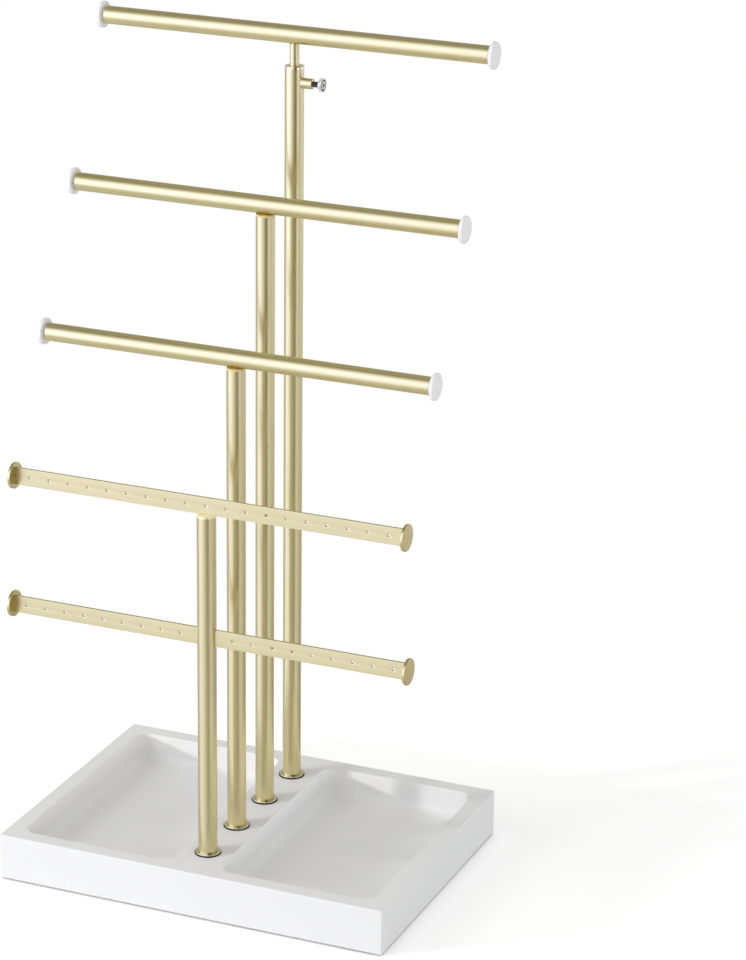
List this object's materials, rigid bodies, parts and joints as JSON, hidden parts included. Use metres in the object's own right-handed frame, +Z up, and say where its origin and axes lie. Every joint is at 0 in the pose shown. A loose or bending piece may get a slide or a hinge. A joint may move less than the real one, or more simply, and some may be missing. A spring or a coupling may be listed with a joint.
{
  "type": "jewelry stand",
  "caption": "Jewelry stand: shallow tray base, a row of gold posts with round necklace bars and pierced earring strips, and a clamped telescoping rod that raises the top bar.",
  "frame": {"origin": "middle of the footprint on the table surface, under the foot pads", "axes": "+Z up; +X along the bars, towards the thumb screw; +Y from the front post to the tallest post"},
  "size_m": [0.2244, 0.159, 0.4464],
  "materials": {
    "white_lacquer": "matt white lacquer on board",
    "satin_gold": "satin champagne gold on steel",
    "white_plastic": "satin white",
    "chrome_knob": "polished",
    "steel_fastener": "dark zinc",
    "dark_rubber": "matt",
    "natural_nylon": "matt"
  },
  "bodies": {
    "stand": {"back_post_collar": "satin_gold", "back_post_foot_plug": "steel_fastener", "back_post_tube": "satin_gold", "base_screws": "steel_fastener", "base_tray": "white_lacquer", "base_washers": "steel_fastener", "clamp_boss": "satin_gold", "collar_gaskets": "dark_rubber", "foot_pads": "dark_rubber", "front_post_collar": "satin_gold", "front_post_foot_plug": "steel_fastener", "front_post_top_plug": "satin_gold", "front_post_tube": "satin_gold", "lower_earring_strip": "satin_gold", "lower_strip_left_disc": "satin_gold", "lower_strip_right_disc": "satin_gold", "rod_guide_bush": "satin_gold", "second_bar_left_cap": "white_plastic", "second_bar_nut": "steel_fastener", "second_bar_right_cap": "white_plastic", "second_bar_stud": "steel_fastener", "second_bar_tube": "satin_gold", "second_post_collar": "satin_gold", "second_post_foot_plug": "steel_fastener", "second_post_top_plug": "satin_gold", "second_post_tube": "satin_gold", "third_bar_left_cap": "white_plastic", "third_bar_nut": "steel_fastener", "third_bar_right_cap": "white_plastic", "third_bar_stud": "steel_fastener", "third_bar_tube": "satin_gold", "third_post_collar": "satin_gold", "third_post_foot_plug": "steel_fastener", "third_post_top_plug": "satin_gold", "third_post_tube": "satin_gold", "upper_earring_strip": "satin_gold", "upper_strip_left_disc": "satin_gold", "upper_strip_right_disc": "satin_gold"},
    "rod_carriage": {"rod_foot_bush": "natural_nylon"},
    "top_bar": {"sliding_rod": "satin_gold", "top_bar_tube": "satin_gold", "top_bar_nut": "steel_fastener", "top_bar_left_cap": "white_plastic", "top_bar_right_cap": "white_plastic"},
    "clamp_carriage": {"clamp_tip": "natural_nylon"},
    "thumb_screw": {"clamp_screw": "steel_fastener", "clamp_knob": "chrome_knob"}
  },
  "joints": [
    {"name": "top_bar_height", "type": "slide", "parent": "stand", "child": "rod_carriage", "axis": [0, 0, 1], "range_m": [-0.011, 0.127]},
    {"name": "top_bar_turn", "type": "hinge", "parent": "rod_carriage", "child": "top_bar", "pos_m": [0, 0.0536, 0.27955], "axis": [0, 0, 1], "continuous": true},
    {"name": "clamp_travel", "type": "slide", "parent": "stand", "child": "clamp_carriage", "axis": [1, 0, 0], "range_m": [0, 0.004]},
    {"name": "clamp_turn", "type": "hinge", "parent": "clamp_carriage", "child": "thumb_screw", "pos_m": [0, 0.0536, 0.4145], "axis": [1, 0, 0], "range_deg": [0, 2880]}
  ],
  "couplings": [
    {"joint": "clamp_turn", "follows": "clamp_travel", "rad_per_m": 12566}
  ]
}
